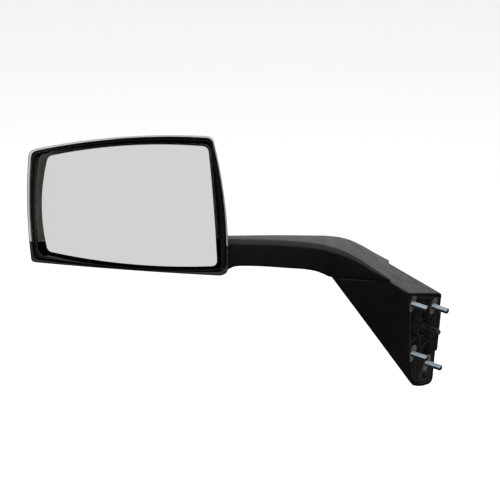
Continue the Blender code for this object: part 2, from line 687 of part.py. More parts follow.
def make_head_bracket():
    low, high = BRACKET_FRONT, BRACKET_FRONT + BRACKET_THICK
    base = HEAD @ INTO_HEAD
    bracket = cylinder("head_bracket", 20, low, high, base, 24)
    for x, z, half_width in BRACKET_ARMS:
        length = math.hypot(x, z)
        lean = Matrix.Rotation(math.atan2(-z, x) - math.pi / 2, 4, "Z")
        place = base @ shift(x / 2, -z / 2, 0) @ lean
        join(bracket, stadium("arm", length / 2 + half_width, half_width, low, high, place))
    cut(bracket, cylinder("stud_hole", NECK_RADIUS + GAP, low - 5, high + 5, base))
    for x, z in COVER_SCREW_SPOTS + HOUSING_SCREW_SPOTS:
        cut(bracket, cylinder("hole", 2.2, low - 5, high + 5, base @ shift(x, -z, 0), 10))
    for x, z in BRACKET_SCREW_SPOTS:
        cut(bracket, cylinder("hole", 2.8, low - 5, high + 5, base @ shift(x, -z, 0), 10))
    return bracket


def head_screws(name, spots, radius, length, head, depth, forwards):
    """Screws along the head's depth; forwards turns them so that they are driven from behind."""
    turn = Matrix.Identity(4) if forwards else Matrix.Rotation(math.pi, 4, "X")
    screws = []
    for x, z in spots:
        place = HEAD @ INTO_HEAD @ shift(x, -z, depth) @ turn
        screws.append(screw_piece("screw", radius, length, head, head * 0.65, place))
    return numbered(name, screws)


def make_bracket_screws():
    depth = BRACKET_FRONT + BRACKET_THICK + GAP
    return head_screws("bracket_screw", BRACKET_SCREW_SPOTS, 2.3, 15, 4.4, depth, True)


def make_shell_screws(name, spots):
    return head_screws(name, spots, 1.6, 13, 3.6, BRACKET_FRONT - GAP, False)


def make_ball_stud():
    """Ball in front, neck through the bracket, with a shoulder in front of it."""
    angle_end = math.asin(NECK_RADIUS / BALL_RADIUS)
    front = [(BALL_RADIUS * math.sin(math.pi * k / 10), -BALL_RADIUS * math.cos(math.pi * k / 10))
             for k in range(9)]
    neck = BALL_RADIUS * math.cos(angle_end)
    shoulder = BRACKET_FRONT - PIVOT_DEPTH - GAP
    end = BRACKET_FRONT + BRACKET_THICK + 11 - PIVOT_DEPTH
    back = [(NECK_RADIUS, neck), (NECK_RADIUS, shoulder - 4), (8.5, shoulder - 4), (8.5, shoulder),
            (NECK_RADIUS, shoulder), (NECK_RADIUS, end), (0, end)]
    place = HEAD @ shift(0, PIVOT_DEPTH, 0) @ INTO_HEAD
    return turned("ball_stud", list(reversed(front + back)), place)


def bracket_ring(name, outer, low, thick, segments=SEGMENTS):
    place = HEAD @ INTO_HEAD
    start = BRACKET_FRONT + BRACKET_THICK + low
    ring = cylinder(name, outer, start, start + thick, place, segments)
    return cut(ring, cylinder("hole", NECK_RADIUS + GAP, start - 5, start + thick + 5, place))


# ---------------------------------------------------------------- glass and its socket

def glass_outline(distance=0.0):
    return bowed_outline(GLASS_CORNERS, GLASS_BOWS, GLASS_RADII, distance)


def curved_sheet(name, outline, front, thick, rings=3):
    """Sheet that follows the glass's curve; front is its depth at the middle, behind the pivot negative."""
    shape = bmesh.new()

    def surface(depth):
        rows = []
        for k in range(rings, 0, -1):
            ring = [point * (k / rings) for point in outline]
            rows.append([Vector((p.x, depth + p.length_squared / (2 * GLASS_CURVE), p.y)) for p in ring])
        return rows

    near, far = surface(front), surface(front + thick)
    rows = loft_faces(shape, near[::-1] + far)
    fan(shape, rows[0], (0, front, 0))
    fan(shape, rows[-1], (0, front + thick, 0))
    return add_mesh(name, shape, GLASS)


GLASS_PLANE = GLASS_FRONT - PIVOT_DEPTH
GLUE_PLANE = GLASS_PLANE + GLASS_THICK + 2 * GAP
CARRIER_PLANE = GLUE_PLANE + PAD_GLUE + 2 * GAP


def glass_pad():
    return curved_sheet("glass_pad", glass_outline(CARRIER_INSET), GLUE_PLANE, PAD_GLUE)


def mirror_glass():
    return curved_sheet("mirror_glass", glass_outline(), GLASS_PLANE, GLASS_THICK)


def make_glass_carrier():
    carrier = curved_sheet("glass_carrier", glass_outline(CARRIER_INSET), CARRIER_PLANE, CARRIER_THICK)
    place = GLASS @ INTO_HEAD
    join(carrier, cylinder("socket", SOCKET_OUTER, CARRIER_PLANE + 1.5, SOCKET_SPLIT, place, 24))
    for angle in range(0, 360, 45):
        spoke = box("spoke", (8, -1.2, CARRIER_PLANE + 1.8), (52, 1.2, CARRIER_PLANE + 9),
                    place @ Matrix.Rotation(math.radians(angle), 4, "Z"))
        join(carrier, spoke)
    shape = bmesh.new()
    bmesh.ops.create_uvsphere(shape, u_segments=24, v_segments=14, radius=SOCKET_INNER)
    cut(carrier, add_mesh("ball_room", shape, place),
        cylinder("spring_room", 7.5, CARRIER_PLANE + CARRIER_THICK, 0, place))
    for spot in retainer_spots():
        cut(carrier, cylinder("pilot", 1.2, -6, 9, place @ spot, 8))
    return carrier


def retainer_spots():
    turns = [2 * math.pi * k / RETAINER_SCREWS for k in range(RETAINER_SCREWS)]
    return [shift(RETAINER_CIRCLE * math.cos(a), RETAINER_CIRCLE * math.sin(a), 0) for a in turns]


def make_socket_retainer():
    low, high = SOCKET_SPLIT + GAP, SOCKET_END
    inner = [(math.sqrt((SOCKET_INNER + 0.1) ** 2 - z ** 2), z) for z in (low, (low + high) / 2, high)]
    profile = [(SOCKET_OUTER, high), (SOCKET_OUTER, low)] + inner
    ring = turned("socket_retainer", profile, GLASS @ INTO_HEAD, 24, ring=True)
    for spot in retainer_spots():
        cut(ring, cylinder("hole", 1.2, 0, 20, GLASS @ INTO_HEAD @ spot, 8))
    return ring


def make_retainer_screws():
    seat = shift(0, 0, SOCKET_END + GAP)
    screws = [screw_piece("screw", 0.9, 11, 1.8, 1.3, GLASS @ INTO_HEAD @ spot @ seat, 8)
              for spot in retainer_spots()]
    return numbered("retainer_screw", screws)


def make_pan_ring():
    """Spherical zone round the ball, open to the front and to the back."""
    first, last, steps = math.radians(48), math.radians(132), 4
    angles = [first + (last - first) * k / steps for k in range(steps + 1)]
    outer = [(RING_OUTER * math.sin(a), -RING_OUTER * math.cos(a)) for a in angles]
    inner = [(RING_INNER * math.sin(a), -RING_INNER * math.cos(a)) for a in angles]
    profile = outer[::-1] + inner
    return turned("pan_ring", profile, GLASS @ INTO_HEAD, 24, ring=True)


def make_spring_cap():
    """Cap with a hollow face that the spring presses on the front of the ball."""
    rim = 4.5
    hollow = [(r, -math.sqrt((BALL_RADIUS + GAP) ** 2 - r ** 2)) for r in (rim, rim / 2, 0)]
    low = -BALL_RADIUS - 4
    profile = hollow[::-1] + [(rim, low), (0, low)]
    return turned("spring_cap", profile, GLASS @ INTO_HEAD, 16)


def make_friction_spring():
    low = CARRIER_PLANE + CARRIER_THICK + GAP
    return coil("friction_spring", 3.2, 0.7, low, -BALL_RADIUS - 4 - GAP, 3, GLASS @ INTO_HEAD, 10)


# ---------------------------------------------------------------- finishes and assembly

FINISHES = {                    # colour, roughness, metallic
    "black_nylon": ((0.020, 0.020, 0.022), 0.45, 0.0),
    "black_gloss": ((0.008, 0.008, 0.010), 0.12, 0.0),
    "grey_pad": ((0.30, 0.29, 0.28), 0.70, 0.0),
    "chrome": ((0.80, 0.80, 0.82), 0.08, 1.0),
    "zinc": ((0.62, 0.65, 0.70), 0.30, 1.0),
    "steel": ((0.45, 0.46, 0.48), 0.38, 1.0),
    "black_coat": ((0.035, 0.035, 0.037), 0.50, 0.0),
    "acetal": ((0.75, 0.74, 0.70), 0.35, 0.0),
    "bronze": ((0.55, 0.38, 0.20), 0.35, 1.0),
    "foam": ((0.06, 0.06, 0.06), 0.90, 0.0),
    "mirror": ((0.62, 0.63, 0.63), 0.06, 0.9),
}


def finish(piece, name):
    colour, roughness, metallic = FINISHES[name]
    material = bpy.data.materials.new(piece.name)
    material.use_nodes = True
    shader = material.node_tree.nodes["Principled BSDF"]
    shader.inputs["Base Color"].default_value = (*colour, 1)
    shader.inputs["Roughness"].default_value = roughness
    shader.inputs["Metallic"].default_value = metallic
    piece.data.materials.clear()
    piece.data.materials.append(material)
    piece.data.shade_smooth()
    piece.data.set_sharp_from_angle(angle=math.radians(32))


def add_empty(name, frame, parent=None):
    empty = bpy.data.objects.new(name, None)
    bpy.data.collections["hood_mirror"].objects.link(empty)
    empty.matrix_world = frame
    attach(empty, parent)
    return empty


def attach(child, parent):
    """Parent an object and leave it where it is."""
    bpy.context.view_layer.update()
    if parent is not None:
        child.parent = parent
        child.matrix_parent_inverse = parent.matrix_world.inverted()


def main():
    start_scene()
    hood_frame = add_empty("hood_frame", MOUNT)
    fold_axis = add_empty("fold_axis", FOLD)
    pan_axis = add_empty("pan_axis", GLASS, fold_axis)
    tilt_axis = add_empty("tilt_axis", GLASS, pan_axis)
    bodies = {
        hood_frame: [
            (make_base_cover(), "black_nylon"), (make_rib_core(), "black_nylon"),
            (make_stud_pads(), "grey_pad"), (make_hood_studs(), "zinc"),
            (make_locating_peg(), "black_nylon"), (make_core_screws(), "zinc"),
            (make_wear_disc(), "acetal"), (make_pivot_bushing(), "bronze"),
        ],
        fold_axis: [
            (make_arm_housing(), "black_nylon"), (make_pivot_insert(), "bronze"),
            (make_pivot_bolt(), "zinc"), (make_pivot_washer(), "zinc"), (make_pivot_spring(), "steel"),
            (make_shell("chrome_cover", True, COVER_SCREW_SPOTS), "chrome"),
            (make_shell("lower_housing", False, HOUSING_SCREW_SPOTS), "black_nylon"),
            (make_bezel(), "black_gloss"), (make_bezel_clips(), "steel"),
            (make_head_bracket(), "black_coat"), (make_bracket_screws(), "zinc"),
            (make_shell_screws("cover_screw", COVER_SCREW_SPOTS), "zinc"),
            (make_shell_screws("housing_screw", HOUSING_SCREW_SPOTS), "zinc"),
            (make_ball_stud(), "steel"), (bracket_ring("ball_stud_washer", 10, GAP, 1.5), "zinc"),
            (bracket_ring("ball_stud_nut", 9.2, 2 * GAP + 1.5, 6, 6), "zinc"),
        ],
        pan_axis: [(make_pan_ring(), "acetal")],
        tilt_axis: [
            (make_glass_carrier(), "black_nylon"), (make_socket_retainer(), "acetal"),
            (make_retainer_screws(), "zinc"), (make_spring_cap(), "acetal"),
            (make_friction_spring(), "steel"), (glass_pad(), "foam"), (mirror_glass(), "mirror"),
        ],
    }
    for frame, pieces in bodies.items():
        for made, look in pieces:
            for piece in made if isinstance(made, list) else [made]:
                finish(piece, look)
                attach(piece, frame)


main()
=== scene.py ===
"""Looks of a driver-side truck hood mirror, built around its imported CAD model.

Sizes are in mm until a mesh is made; the head's pieces are drawn in the head's own frame
(x to the right, y into the head, z up) and the base's in the hood face's frame.
"""

import json
import math

import bmesh
import bpy
from mathutils import Matrix, Vector


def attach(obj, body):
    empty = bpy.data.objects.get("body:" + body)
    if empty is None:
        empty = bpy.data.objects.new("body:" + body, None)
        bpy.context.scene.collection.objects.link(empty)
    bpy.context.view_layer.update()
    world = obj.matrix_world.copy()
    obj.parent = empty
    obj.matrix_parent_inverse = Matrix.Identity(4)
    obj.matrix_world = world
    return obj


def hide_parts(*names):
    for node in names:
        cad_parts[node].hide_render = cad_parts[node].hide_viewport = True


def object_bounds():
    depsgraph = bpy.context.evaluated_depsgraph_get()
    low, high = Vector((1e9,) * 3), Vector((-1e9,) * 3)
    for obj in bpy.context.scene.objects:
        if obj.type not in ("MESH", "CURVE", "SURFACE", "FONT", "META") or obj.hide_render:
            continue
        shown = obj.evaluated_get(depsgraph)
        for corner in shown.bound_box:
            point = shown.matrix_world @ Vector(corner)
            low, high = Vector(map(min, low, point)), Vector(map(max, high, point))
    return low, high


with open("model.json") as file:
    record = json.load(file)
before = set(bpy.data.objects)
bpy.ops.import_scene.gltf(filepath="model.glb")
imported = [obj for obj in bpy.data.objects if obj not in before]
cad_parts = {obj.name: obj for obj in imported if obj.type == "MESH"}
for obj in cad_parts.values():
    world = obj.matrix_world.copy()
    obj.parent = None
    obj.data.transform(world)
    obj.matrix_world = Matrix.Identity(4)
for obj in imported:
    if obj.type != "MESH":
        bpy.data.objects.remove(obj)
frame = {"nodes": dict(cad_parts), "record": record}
CAD_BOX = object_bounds()

MM = 0.001

# Hood face
MOUNT_YAW, MOUNT_DROP = -33.0, 5.5
FACE_SHAPE = ([(-47.5, 80), (45, 50), (45, -82), (-16.5, -64)], [0, -1.5, 4, 4.5], [4, 5, 10, 9])
COVER_WALL, COVER_RIM = 3.9, -1.0
STUD_SPOTS = [(-34.5, 60), (23, 38), (-21, -17), (21, -45)]
STUD_RADIUS, STUD_PROUD, THREAD_PITCH, THREAD_DEPTH = 4.0, 23.0, 1.25, 0.45

# Fold
SEAM_Z, FOLD_X, BUSH_RADIUS = 96.0, -80.0, 8.8
DISC_RECESS, INSERT_HOLE = (19.5, 90.0, 97.6), (8.3, 92.0, 109.0)       # in the arm: radius, low z, high z
SEAM_SHAPE = ([(-44, -45), (-44, 31), (-122, 27), (-122, -27)], [0, 4, 3, 2], [3, 5, 12, 12])

# Arm: (x, front y, back y, underside z, top z, top edge radius)
ARM_STATIONS = [
    (-44, -44.5, 31, 96, 98.8, 1), (-62, -39.5, 33.5, 96, 109, 4), (-80, -35.5, 34, 96, 120, 5),
    (-96, -32, 33, 96, 128.5, 6), (-110, -29.5, 30, 96, 134, 7), (-123, -26.5, 26, 96, 137, 7),
    (-132, -24, 23, 98.5, 138.8, 7), (-142, -22, 20.5, 101.2, 139.8, 7), (-158, -19, 18.5, 103, 140.7, 7),
    (-186, -15, 17, 103.6, 141.6, 7), (-215, -12, 16, 104.5, 141.8, 7), (-238, -10, 15.5, 104.3, 141.7, 7),
    (-250, -9.5, 15, 103.3, 141.7, 7), (-258, -9, 14.5, 99.5, 141.8, 7), (-262, -9, 14, 97, 141.8, 6),
]
TONGUE_STATIONS = [(113, 38, 49, -77, -46), (104, 39, 50, -76, -46), (62, 39, 50, -74, -48)]

# Head
HEAD_CENTRE, HEAD_TILT = (-389.4, -10.0, 190.4), -18.0
HEAD_SHAPE = (                   # corners, bows of the sides and radii, as for every shape here
    [(-132.7, 73.5), (110, 91.5), (131, -93.3), (-129.5, -74.5)], [8.3, 6.5, 1.5, 4], [9, 7, 14, 5])
HEAD_DEPTH, HEAD_ROUNDNESS, SHELL_WALL, RIM_BEVEL = 95.0, 2.4, 2.6, 3.5
PARTING_Z, PARTING_SLOPE, PARTING_GAP = -53.1, -0.0383, 0.08
OPENING_SHAPE = ([(-119.5, 67), (107.5, 81.2), (120.3, -83), (-119, -63.5)], [8, 1.2, 7.5, 4], [8, 9, 8, 8])
BEZEL_SHAPE = ([(-127.8, 68.8), (107.5, 87), (126.8, -86.5), (-124.7, -70)], [8.5, 6.5, 5, 4],
               [8, 6, 12, 6])
BEZEL_SECTION = [               # share of the way from outer edge to opening, depth
    (0.00, 4.2), (0.00, 2.4), (0.03, 1.3), (0.09, 0.6), (0.17, 0.25), (0.28, 0.12), (0.40, 0.18),
    (0.50, 0.40), (0.57, 0.85), (0.62, 1.6), (0.68, 2.6), (0.95, 7.0), (0.97, 7.8), (0.96, 8.4),
    (0.90, 8.5), (0.62, 8.5), (0.57, 7.0), (0.47, 4.6), (0.30, 4.3),
]

# Glass
GLASS_SHAPE = ([(-107.5, 65.5), (105.5, 78.4), (117.5, -80.4), (-108, -61)], [8, 1.4, 7.2, 8], [6, 8, 8, 6])
GLASS_CURVE, GLASS_FRONT, GLASS_THICK, PIVOT_DEPTH, REST_PAN = 900.0, 3.0, 2.5, 32.0, -2.5

# Clip under the glass: moved down, and this share of its height kept
LOWER_CLIP_DROP, LOWER_CLIP_SHARE = 5.2, 0.45


def shift(x, y, z):
    return Matrix.Translation(Vector((x, y, z)))


def mount_matrix():
    yaw, drop = math.radians(MOUNT_YAW), math.radians(MOUNT_DROP)
    out = Vector((math.cos(drop) * math.cos(yaw), math.cos(drop) * math.sin(yaw), -math.sin(drop)))
    across = Vector((-math.sin(yaw), math.cos(yaw), 0))
    return Matrix((across, out.cross(across), out)).transposed().to_4x4()


WORLD = Matrix.Identity(4)
MOUNT = mount_matrix()
HEAD = shift(*HEAD_CENTRE) @ Matrix.Rotation(math.radians(HEAD_TILT), 4, "X")
GLASS = HEAD @ shift(0, PIVOT_DEPTH, 0) @ Matrix.Rotation(math.radians(REST_PAN), 4, "Z")


# ---------------------------------------------------------------- materials

def node_material(name):
    material = bpy.data.materials.new(name)
    material.use_nodes = True
    tree = material.node_tree
    coords = tree.nodes.new("ShaderNodeTexCoord")
    return material, tree, tree.nodes["Principled BSDF"], coords.outputs["Object"]


def noise(tree, coords, scale, detail=2.0):
    node = tree.nodes.new("ShaderNodeTexNoise")
    node.inputs["Scale"].default_value = scale
    node.inputs["Detail"].default_value = detail
    tree.links.new(coords, node.inputs["Vector"])
    return node.outputs["Fac"]


def spread(tree, value, low, high, start=0.3, end=0.7):
    node = tree.nodes.new("ShaderNodeMapRange")
    node.inputs["From Min"].default_value = start
    node.inputs["From Max"].default_value = end
    node.inputs["To Min"].default_value = low
    node.inputs["To Max"].default_value = high
    tree.links.new(value, node.inputs["Value"])
    return node.outputs["Result"]


def blend_colours(tree, value, first, second):
    node = tree.nodes.new("ShaderNodeMix")
    node.data_type = "RGBA"
    node.inputs["A"].default_value = (*first, 1)
    node.inputs["B"].default_value = (*second, 1)
    tree.links.new(value, node.inputs["Factor"])
    return node.outputs["Result"]


def bump(tree, shader, height, distance, strength=1.0):
    node = tree.nodes.new("ShaderNodeBump")
    node.inputs["Distance"].default_value = distance
    node.inputs["Strength"].default_value = strength
    tree.links.new(height, node.inputs["Height"])
    tree.links.new(node.outputs["Normal"], shader.inputs["Normal"])


def along_x(tree, coords, low, high, start, end):
    """A value that runs from low to high between two places along the row's X, in metres."""
    split = tree.nodes.new("ShaderNodeSeparateXYZ")
    tree.links.new(coords, split.inputs["Vector"])
    return spread(tree, split.outputs["X"], low, high, start, end)


def plastic(name, dark, light, rough, specular, grain=1800.0, depth=0.00006, painted_light_run=None):
    """Moulded plastic: fine grain, uneven gloss, and a tone that varies at random in patches, or, when a
    run along X is given, painted light and shade graded along X in place of the patches.
    """
    material, tree, shader, coords = node_material(name)
    shade = along_x(tree, coords, 0, 1, *painted_light_run) if painted_light_run else spread(tree, noise(tree, coords, 14, 3), 0, 1)
    tree.links.new(blend_colours(tree, shade, dark, light), shader.inputs["Base Color"])
    tree.links.new(spread(tree, noise(tree, coords, 60, 4), *rough), shader.inputs["Roughness"])
    shader.inputs["Specular IOR Level"].default_value = specular
    bump(tree, shader, noise(tree, coords, grain, 2), depth)
    return material


def metal(name, dark, light, rough, grain=(900.0, 900.0, 60.0), depth=0.00002, edge=1.0):
    """Metal with drawn-out fine scratches; edge dims what it mirrors at a flat angle."""
    material, tree, shader, coords = node_material(name)
    stretch = tree.nodes.new("ShaderNodeMapping")
    stretch.inputs["Scale"].default_value = grain
    tree.links.new(coords, stretch.inputs["Vector"])
    scratches = noise(tree, stretch.outputs["Vector"], 1.0, 3)
    shade = spread(tree, noise(tree, coords, 90, 3), 0, 1)
    tree.links.new(blend_colours(tree, shade, dark, light), shader.inputs["Base Color"])
    tree.links.new(spread(tree, scratches, *rough), shader.inputs["Roughness"])
    shader.inputs["Metallic"].default_value = 1.0
    shader.inputs["Specular Tint"].default_value = (edge, edge, edge, 1)
    bump(tree, shader, scratches, depth)
    return material


def mirror_material():
    """Silvered glass: one even tone, a trace of dust in the gloss."""
    material, tree, shader, coords = node_material("mirror_glass")
    shader.inputs["Base Color"].default_value = (0.64, 0.65, 0.645, 1)
    shader.inputs["Metallic"].default_value = 1.0
    tree.links.new(spread(tree, noise(tree, coords, 300, 4), 0.02, 0.05), shader.inputs["Roughness"])
    return material


MATERIALS = {
    "black_nylon": plastic("black_nylon", (0.0035, 0.0033, 0.0035), (0.006, 0.0055, 0.0055),
                           (0.34, 0.46), 0.45),
    "base_nylon": plastic("base_nylon", (0.0045, 0.0022, 0.0018), (0.0060, 0.0042, 0.0038),
                          (0.34, 0.46), 0.38),
    # Arm colour holds painted light and shade along X: lighter and bluer at the head end, darker and
    # browner towards the fold.
    "arm_nylon": plastic("arm_nylon", (0.0040, 0.0045, 0.0075), (0.0035, 0.0012, 0.0010),
                         (0.32, 0.42), 0.42, painted_light_run=(-0.27, -0.12)),
    "core_nylon": plastic("core_nylon", (0.007, 0.0065, 0.005), (0.020, 0.0185, 0.016), (0.42, 0.52), 0.35),
    "black_gloss": plastic("black_gloss", (0.0008, 0.0009, 0.0012), (0.0012, 0.0012, 0.0016),
                           (0.08, 0.14), 0.08, 500.0, 0.00001),
    "grey_pad": plastic("grey_pad", (0.055, 0.050, 0.044), (0.11, 0.10, 0.09), (0.6, 0.8), 0.35,
                        1200.0, 0.0001),
    "chrome": metal("chrome", (0.50, 0.51, 0.50), (0.55, 0.555, 0.545), (0.05, 0.10), (300.0, 300.0, 300.0),
                    0.000004, edge=0.45),
    "zinc_plate": metal("zinc_plate", (0.40, 0.48, 0.56), (0.56, 0.64, 0.70), (0.18, 0.34)),
    "spring_steel": metal("spring_steel", (0.32, 0.32, 0.34), (0.50, 0.50, 0.52), (0.28, 0.42)),
    "black_coat": plastic("black_coat", (0.012, 0.012, 0.013), (0.020, 0.020, 0.022), (0.4, 0.55), 0.4,
                          900.0),
    "acetal": plastic("acetal", (0.68, 0.66, 0.61), (0.78, 0.77, 0.73), (0.30, 0.42), 0.5, 1400.0, 0.00002),
    "bronze": metal("bronze", (0.46, 0.30, 0.15), (0.60, 0.42, 0.22), (0.30, 0.45)),
    "foam": plastic("foam", (0.035, 0.035, 0.035), (0.07, 0.07, 0.07), (0.85, 0.95), 0.2, 2500.0, 0.0002),
    "mirror_glass": mirror_material(),
    "shell_inside": plastic("shell_inside", (0.62, 0.56, 0.49), (0.74, 0.69, 0.62), (0.5, 0.7), 0.4),
}


# ---------------------------------------------------------------- meshes

def add_piece(name, shape, place, material, sharp=35.0):
    """Turn a bmesh in mm, drawn in a frame, into a smooth-shaded object with outward faces."""
    bmesh.ops.transform(shape, matrix=Matrix.Scale(MM, 4) @ place, verts=shape.verts)
    bmesh.ops.recalc_face_normals(shape, faces=shape.faces)
    mesh = bpy.data.meshes.new(name)
    shape.to_mesh(mesh)
    shape.free()
    mesh.shade_smooth()
    mesh.set_sharp_from_angle(angle=math.radians(sharp))
    mesh.materials.append(MATERIALS[material])
    piece = bpy.data.objects.new(name, mesh)
    bpy.context.scene.collection.objects.link(piece)
    return piece


def loft(shape, rings, closed_loop=False):
    rows = [[shape.verts.new(point) for point in ring] for ring in rings]
    pairs = list(zip(rows, rows[1:]))
    if closed_loop:
        pairs.append((rows[-1], rows[0]))
    for first, second in pairs:
        for i, _ in enumerate(first):
            j = (i + 1) % len(first)
            shape.faces.new((first[i], first[j], second[j], second[i]))
    return rows


def fan(shape, row, tip):
    end = shape.verts.new(tip)
    for i, _ in enumerate(row):
        shape.faces.new((row[i], row[(i + 1) % len(row)], end))


def apply_modifiers(piece):
    bpy.context.view_layer.update()
    graph = bpy.context.evaluated_depsgraph_get()
    piece.data = bpy.data.meshes.new_from_object(piece.evaluated_get(graph))
    piece.modifiers.clear()


def subtract(piece, tool):
    modifier = piece.modifiers.new("cut", "BOOLEAN")
    modifier.operation = "DIFFERENCE"
    modifier.object = tool
    apply_modifiers(piece)
    bpy.data.objects.remove(tool)


def soften(piece, width, segments=2, angle=35.0):
    """Round the sharp edges a little, so that they catch the light."""
    modifier = piece.modifiers.new("edges", "BEVEL")
    modifier.width = width * MM
    modifier.segments = segments
    modifier.limit_method = "ANGLE"
    modifier.angle_limit = math.radians(angle)
    apply_modifiers(piece)


def moved_in(corners, distance):
    count = len(corners)
    spots = [Vector(corner) for corner in corners]
    middle = sum(spots, Vector((0, 0))) / count
    normals = []
    for i in range(count):
        along = spots[(i + 1) % count] - spots[i]
        inwards = Vector((-along.y, along.x)).normalized()
        normals.append(inwards if inwards.dot(middle - spots[i]) > 0 else -inwards)
    return [spot + (normals[i - 1] + normals[i]) * distance / (1 + normals[i - 1].dot(normals[i]))
            for i, spot in enumerate(spots)]


def outline(shape, inset=0.0, side_steps=26, corner_steps=8):
    """Closed outline of four bowed sides with rounded corners, moved inwards."""
    corners, bows, radii = shape
    count = len(corners)
    corners = moved_in(corners, inset)
    radii = [max(radius - 0.6 * inset, 1.0) for radius in radii]
    middle = sum((Vector(corner) for corner in corners), Vector((0, 0))) / count

    def on_side(i, share):
        start, end = Vector(corners[i]), Vector(corners[(i + 1) % count])
        along = end - start
        outwards = Vector((-along.y, along.x)).normalized()
        if outwards.dot(start - middle) < 0:
            outwards = -outwards
        return start + along * share + outwards * bows[i] * 4 * share * (1 - share)

    points = []
    for i in range(count):
        following = (i + 1) % count
        length = (Vector(corners[following]) - Vector(corners[i])).length
        first, last = radii[i] / length, 1 - radii[following] / length
        points += [on_side(i, first + (last - first) * k / side_steps) for k in range(side_steps + 1)]
        next_length = (Vector(corners[(i + 2) % count]) - Vector(corners[following])).length
        leave, arrive = on_side(i, last), on_side(following, radii[following] / next_length)
        turn = Vector(corners[following])
        for k in range(1, corner_steps):
            share = k / corner_steps
            points.append(leave * (1 - share) ** 2 + turn * 2 * share * (1 - share) + arrive * share ** 2)
    return points


# ---------------------------------------------------------------- head

def dome_point(angle):
    scale = math.cos(angle) ** (2 / HEAD_ROUNDNESS)
    depth = RIM_BEVEL + (HEAD_DEPTH - RIM_BEVEL) * math.sin(angle) ** (2 / HEAD_ROUNDNESS)
    return scale, depth


RIM_ROLL = [                    # share of the way from the edge of the head to the bezel, depth
    (0.95, 2.6), (0.86, 1.4), (0.66, 0.55), (0.40, 0.1), (0.18, 0.35), (0.05, 1.3),
]


def between(outer, inner, share, depth):
    """Ring part of the way from one outline to another."""
    return [Vector((p.x, depth, p.y)) for p in (a.lerp(b, share) for a, b in zip(outer, inner))]


def make_shell(name, keep_above, material, inside, steps=34):
    shape = bmesh.new()
    whole, bezel = outline(HEAD_SHAPE), outline(BEZEL_SHAPE)
    rings = [between(whole, bezel, share, depth) for share, depth in RIM_ROLL]
    for k in range(steps):
        scale, depth = dome_point(math.pi / 2 * k / steps)
        rings.append([Vector((p.x * scale, depth, p.y * scale)) for p in whole])
    rows = loft(shape, rings)
    fan(shape, rows[-1], (0, HEAD_DEPTH, 0))
    bmesh.ops.recalc_face_normals(shape, faces=shape.faces)
    side = 1 if keep_above else -1
    bmesh.ops.bisect_plane(
        shape, geom=shape.verts[:] + shape.edges[:] + shape.faces[:],
        plane_co=(0, 0, PARTING_Z + side * PARTING_GAP), plane_no=(-PARTING_SLOPE, 0, 1),
        clear_inner=keep_above, clear_outer=not keep_above,
    )
    shell = add_piece(name, shape, HEAD, material)
    wall = shell.modifiers.new("wall", "SOLIDIFY")
    wall.thickness = SHELL_WALL * 0.6 * MM
    wall.offset = -1
    shell.data.materials.append(MATERIALS[inside])
    wall.material_offset = 1
    apply_modifiers(shell)
    subtract(shell, solid_arm("arm_hole", 0.7, 30))
    return shell


def make_bezel():
    outer, opening = outline(BEZEL_SHAPE), outline(OPENING_SHAPE)
    rings = [between(outer, opening, share, depth) for share, depth in BEZEL_SECTION]
    shape = bmesh.new()
    loft(shape, rings, closed_loop=True)
    return add_piece("front_bezel_fine", shape, HEAD, "black_gloss", 60)


def make_glass(rings=14):
    """Convex sheet with a ground edge."""
    shape = bmesh.new()
    front, edge = GLASS_FRONT - PIVOT_DEPTH, 0.4

    def level(points, depth):
        return [Vector((p.x, depth + p.length_squared / (2 * GLASS_CURVE), p.y)) for p in points]

    whole = outline(GLASS_SHAPE)
    inner = outline(GLASS_SHAPE, edge)
    near = [level([p * (k / rings) for p in inner], front) for k in range(1, rings + 1)]
    far = [level([p * (k / rings) for p in inner], front + GLASS_THICK) for k in range(rings, 0, -1)]
    rim = [level(whole, front + edge), level(whole, front + GLASS_THICK - edge)]
    rows = loft(shape, near + rim + far)
    fan(shape, rows[0], (0, front, 0))
    fan(shape, rows[-1], (0, front + GLASS_THICK, 0))
    return add_piece("mirror_glass_fine", shape, GLASS, "mirror_glass", 20)


# ---------------------------------------------------------------- arm

def smooth_through(stations, steps):
    """Catmull-Rom stations between the given ones."""
    result = []
    last = len(stations) - 1
    for i in range(last):
        a, b = stations[max(i - 1, 0)], stations[i]
        c, d = stations[i + 1], stations[min(i + 2, last)]
        for k in range(steps):
            t = k / steps
            result.append([
                0.5 * (2 * b[j] + (c[j] - a[j]) * t + (2 * a[j] - 5 * b[j] + 4 * c[j] - d[j]) * t * t
                       + (3 * b[j] - a[j] - 3 * c[j] + d[j]) * t ** 3)
                for j in range(len(b))])
    result.append(list(stations[-1]))
    return result


def section(y_low, y_high, z_low, z_high, top_radius, bottom_radius, steps):
    points = []
    for corner, (y, z, y_sign, z_sign, radius) in enumerate((
            (y_high, z_high, 1, 1, top_radius), (y_low, z_high, -1, 1, top_radius),
            (y_low, z_low, -1, -1, bottom_radius), (y_high, z_low, 1, -1, bottom_radius))):
        radius = min(radius, (z_high - z_low) * 0.45)
        for k in range(steps + 1):
            angle = math.pi / 2 * (corner + k / steps)
            points.append((y - y_sign * radius + radius * math.cos(angle),
                           z - z_sign * radius + radius * math.sin(angle)))
    return points


def arm_rings(grow, steps, smooth):
    rings = []
    stations = smooth_through(ARM_STATIONS, smooth) if smooth else ARM_STATIONS
    for x, front, back, low, high, radius in stations:
        foot = 0.6 if x > -130 else min(4, (-x - 122) * 0.2)
        low = max(low, SEAM_Z) if x > -123 else low
        ring = section(front - grow, back + grow, low - grow, high + grow, radius, foot, steps)
        rings.append([Vector((x, y, z)) for y, z in ring])
    for x, near, far, low, high in TONGUE_STATIONS:
        ring = section(near - grow, far + grow, low - grow, high + grow, 3, 3, steps)
        rings.append([HEAD @ Vector((x, y, z)) for y, z in ring])
    return rings


def solid_arm(name, grow, steps=8, smooth=0):
    shape = bmesh.new()
    rows = loft(shape, arm_rings(grow, 4, smooth))
    shape.faces.new(rows[0])
    shape.faces.new(rows[-1])
    return add_piece(name, shape, WORLD, "arm_nylon")


